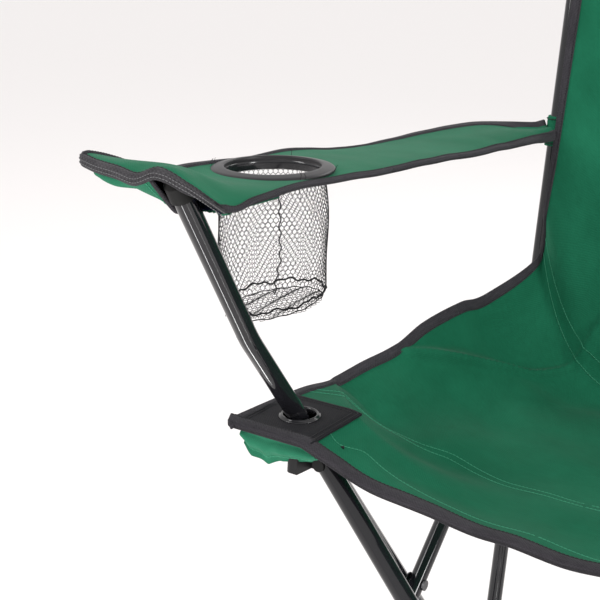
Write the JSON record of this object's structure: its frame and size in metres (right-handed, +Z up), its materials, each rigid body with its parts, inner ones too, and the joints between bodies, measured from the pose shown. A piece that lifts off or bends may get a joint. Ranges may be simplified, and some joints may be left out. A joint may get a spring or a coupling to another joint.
{
  "type": "folding camp chair",
  "caption": "Folding camp chair: crossed steel tube frame that folds to a bundle, green fabric sling seat and back, fabric armrests, and a ringed net cup holder.",
  "frame": {"origin": "on the floor, under the middle of the chair's box", "axes": "+X to the sitter's left, -Y the way the sitter faces, +Z up"},
  "size_m": [0.5874, 0.6675, 0.8485],
  "materials": {
    "black_tube": "gloss black powder coat on round steel tube",
    "fitting_plastic": "moulded black nylon",
    "ring_plastic": "glossy black moulded plastic",
    "rivets": "zinc-plated steel rivets",
    "seat_fabric": "green coated polyester canvas",
    "arm_fabric": "green coated polyester canvas, a lighter shade",
    "webbing": "black woven polyester",
    "lining": "dark woven lining",
    "net": "black knotted string net"
  },
  "bodies": {
    "front_foot_left": {"front_foot_left": "fitting_plastic", "front_foot_left_rivets": "rivets"},
    "front_foot_right": {"front_foot_right": "fitting_plastic", "front_foot_right_rivets": "rivets"},
    "rear_foot_left": {"rear_foot_left": "fitting_plastic", "rear_foot_left_rivets": "rivets"},
    "rear_foot_right": {"rear_foot_right": "fitting_plastic", "rear_foot_right_rivets": "rivets"},
    "side_strut_left": {"side_strut_left": "black_tube", "left_cross_rivet": "rivets"},
    "side_strut_right": {"side_strut_right": "black_tube", "right_cross_rivet": "rivets"},
    "arm_tube_left": {"arm_tube_left": "black_tube", "arm_tube_cap_left": "fitting_plastic", "seat_grommet_left": "ring_plastic", "seat_patch_left": "webbing"},
    "arm_tube_right": {"arm_tube_right": "black_tube", "arm_tube_cap_right": "fitting_plastic", "seat_grommet_right": "ring_plastic", "seat_patch_right": "webbing"},
    "rear_tube_a": {"rear_tube_a": "black_tube", "rear_cross_rivet": "rivets"},
    "rear_tube_b": {"rear_tube_b": "black_tube"},
    "front_tube_a": {"front_tube_a": "black_tube", "front_cross_rivet": "rivets"},
    "front_tube_b": {"front_tube_b": "black_tube"},
    "front_hub_left": {"front_hub_left": "fitting_plastic", "front_hub_left_rivets": "rivets"},
    "front_hub_right": {"front_hub_right": "fitting_plastic", "front_hub_right_rivets": "rivets"},
    "rear_slider_left": {"rear_slider_left": "fitting_plastic", "rear_slider_left_rivets": "rivets", "seat_tie_left": "webbing"},
    "rear_slider_right": {"rear_slider_right": "fitting_plastic", "rear_slider_right_rivets": "rivets", "seat_tie_right": "webbing"},
    "back_post_left": {"back_post_left": "black_tube", "post_cap_left": "fitting_plastic", "back_pocket_left": "seat_fabric", "side_wing_left": "seat_fabric", "back_panel": "seat_fabric"},
    "back_post_right": {"back_post_right": "black_tube", "post_cap_right": "fitting_plastic", "back_pocket_right": "seat_fabric", "side_wing_right": "seat_fabric"},
    "seat_front": {"seat_front_panel": "seat_fabric"},
    "seat_rear": {"seat_rear_panel": "seat_fabric"},
    "arm_left": {"arm_left_front": "arm_fabric", "arm_left_rear": "arm_fabric", "arm_pocket_left": "lining"},
    "arm_right": {"arm_right_front": "arm_fabric", "arm_right_rear": "arm_fabric", "arm_pocket_right": "lining", "cup_ring": "ring_plastic", "cup_ring_clamp": "ring_plastic", "net_pouch": "net", "net_hem": "net"}
  },
  "joints": [
    {"name": "fold", "type": "hinge", "parent": "front_foot_left", "child": "side_strut_left", "pos_m": [0.19021, -0.18801, 0.04945], "axis": [1, 0, 0], "range_deg": [0, 32], "deforming": ["back_panel", "back_pocket_left", "back_pocket_right", "side_wing_left", "side_wing_right", "seat_front_panel", "seat_rear_panel", "arm_left_front", "arm_left_rear", "arm_right_front", "arm_right_rear", "arm_pocket_left", "arm_pocket_right", "net_pouch", "net_hem", "seat_patch_left", "seat_patch_right", "seat_tie_left", "seat_tie_right"]},
    {"name": "left_crossing", "type": "hinge", "parent": "side_strut_left", "child": "arm_tube_left", "pos_m": [0.19895, -0.00334, 0.22165], "axis": [-1, 0, 0], "range_deg": [0, 64]},
    {"name": "rear_foot_left_hinge", "type": "hinge", "parent": "arm_tube_left", "child": "rear_foot_left", "pos_m": [0.20771, 0.14862, 0.02], "axis": [1, 0, 0], "range_deg": [0, 32]},
    {"name": "rear_tube_a_hinge", "type": "hinge", "parent": "rear_foot_left", "child": "rear_tube_a", "pos_m": [0.16895, 0.18722, 0.01662], "axis": [0, 0.9962, -0.0872], "range_deg": [0, 32]},
    {"name": "rear_crossing", "type": "hinge", "parent": "rear_tube_a", "child": "rear_tube_b", "pos_m": [0, 0.19486, 0.20431], "axis": [0, -0.9962, 0.0872], "range_deg": [0, 64]},
    {"name": "rear_foot_right_hinge", "type": "hinge", "parent": "rear_tube_b", "child": "rear_foot_right", "pos_m": [-0.16895, 0.16979, 0.01815], "axis": [0, 0.9962, -0.0872], "range_deg": [0, 32]},
    {"name": "slider_left_hinge", "type": "hinge", "parent": "side_strut_left", "child": "rear_slider_left", "pos_m": [0.19021, 0.18133, 0.39386], "axis": [-1, 0, 0], "range_deg": [0, 32]},
    {"name": "hub_left_hinge", "type": "hinge", "parent": "arm_tube_left", "child": "front_hub_left", "pos_m": [0.20771, -0.1553, 0.42331], "axis": [1, 0, 0], "range_deg": [0, 32]},
    {"name": "post_left_hinge", "type": "hinge", "parent": "rear_foot_left", "child": "back_post_left", "pos_m": [0.19895, 0.18028, 0.03923], "axis": [1, 0, 0], "range_deg": [0, 1.19]},
    {"name": "arm_left_hinge", "type": "hinge", "parent": "arm_tube_left", "child": "arm_left", "pos_m": [0.20771, -0.31495, 0.66596], "axis": [-1, 0, 0], "range_deg": [0, 16]},
    {"name": "arm_tube_right_hinge", "type": "hinge", "parent": "rear_foot_right", "child": "arm_tube_right", "pos_m": [-0.20771, 0.14862, 0.02], "axis": [-1, 0, 0], "range_deg": [0, 32]},
    {"name": "right_crossing", "type": "hinge", "parent": "arm_tube_right", "child": "side_strut_right", "pos_m": [-0.19895, -0.00334, 0.22165], "axis": [1, 0, 0], "range_deg": [0, 64]},
    {"name": "front_foot_right_hinge", "type": "hinge", "parent": "side_strut_right", "child": "front_foot_right", "pos_m": [-0.19021, -0.18801, 0.04945], "axis": [-1, 0, 0], "range_deg": [0, 32]},
    {"name": "slider_right_hinge", "type": "hinge", "parent": "side_strut_right", "child": "rear_slider_right", "pos_m": [-0.19021, 0.18133, 0.39386], "axis": [-1, 0, 0], "range_deg": [0, 32]},
    {"name": "hub_right_hinge", "type": "hinge", "parent": "arm_tube_right", "child": "front_hub_right", "pos_m": [-0.20771, -0.1553, 0.42331], "axis": [1, 0, 0], "range_deg": [0, 32]},
    {"name": "post_right_hinge", "type": "hinge", "parent": "rear_foot_right", "child": "back_post_right", "pos_m": [-0.19895, 0.18028, 0.03923], "axis": [1, 0, 0], "range_deg": [0, 1.19]},
    {"name": "arm_right_hinge", "type": "hinge", "parent": "arm_tube_right", "child": "arm_right", "pos_m": [-0.20771, -0.31495, 0.66596], "axis": [-1, 0, 0], "range_deg": [0, 16]},
    {"name": "front_tube_a_hinge", "type": "hinge", "parent": "front_foot_left", "child": "front_tube_a", "pos_m": [0.16895, -0.22661, 0.05283], "axis": [0, 0.9962, -0.0872], "range_deg": [0, 32]},
    {"name": "front_crossing", "type": "hinge", "parent": "front_tube_a", "child": "front_tube_b", "pos_m": [0, -0.20154, 0.239], "axis": [0, -0.9962, 0.0872], "range_deg": [0, 64]},
    {"name": "seat_front_hinge", "type": "hinge", "parent": "front_hub_left", "child": "seat_front", "pos_m": [0.20771, -0.1553, 0.42331], "axis": [-1, 0, 0], "range_deg": [0, 86]},
    {"name": "seat_crease", "type": "hinge", "parent": "back_post_left", "child": "seat_rear", "pos_m": [0, 0.16262, 0.3725], "axis": [1, 0, 0], "range_deg": [0, 68]}
  ],
  "couplings": [
    {"joint": "left_crossing", "follows": "fold", "ratio": 2},
    {"joint": "rear_foot_left_hinge", "follows": "fold", "ratio": 1},
    {"joint": "rear_tube_a_hinge", "follows": "fold", "ratio": 1},
    {"joint": "rear_crossing", "follows": "fold", "ratio": 2},
    {"joint": "rear_foot_right_hinge", "follows": "fold", "ratio": 1},
    {"joint": "slider_left_hinge", "follows": "fold", "ratio": 1},
    {"joint": "hub_left_hinge", "follows": "fold", "ratio": 1},
    {"joint": "post_left_hinge", "follows": "fold", "ratio": 0.037254},
    {"joint": "arm_left_hinge", "follows": "fold", "ratio": 0.5},
    {"joint": "arm_tube_right_hinge", "follows": "fold", "ratio": 1},
    {"joint": "right_crossing", "follows": "fold", "ratio": 2},
    {"joint": "front_foot_right_hinge", "follows": "fold", "ratio": 1},
    {"joint": "slider_right_hinge", "follows": "fold", "ratio": 1},
    {"joint": "hub_right_hinge", "follows": "fold", "ratio": 1},
    {"joint": "post_right_hinge", "follows": "fold", "ratio": 0.037254},
    {"joint": "arm_right_hinge", "follows": "fold", "ratio": 0.5},
    {"joint": "front_tube_a_hinge", "follows": "fold", "ratio": 1},
    {"joint": "front_crossing", "follows": "fold", "ratio": 2},
    {"joint": "seat_front_hinge", "follows": "fold", "ratio": 2.6875},
    {"joint": "seat_crease", "follows": "fold", "ratio": 2.125}
  ]
}
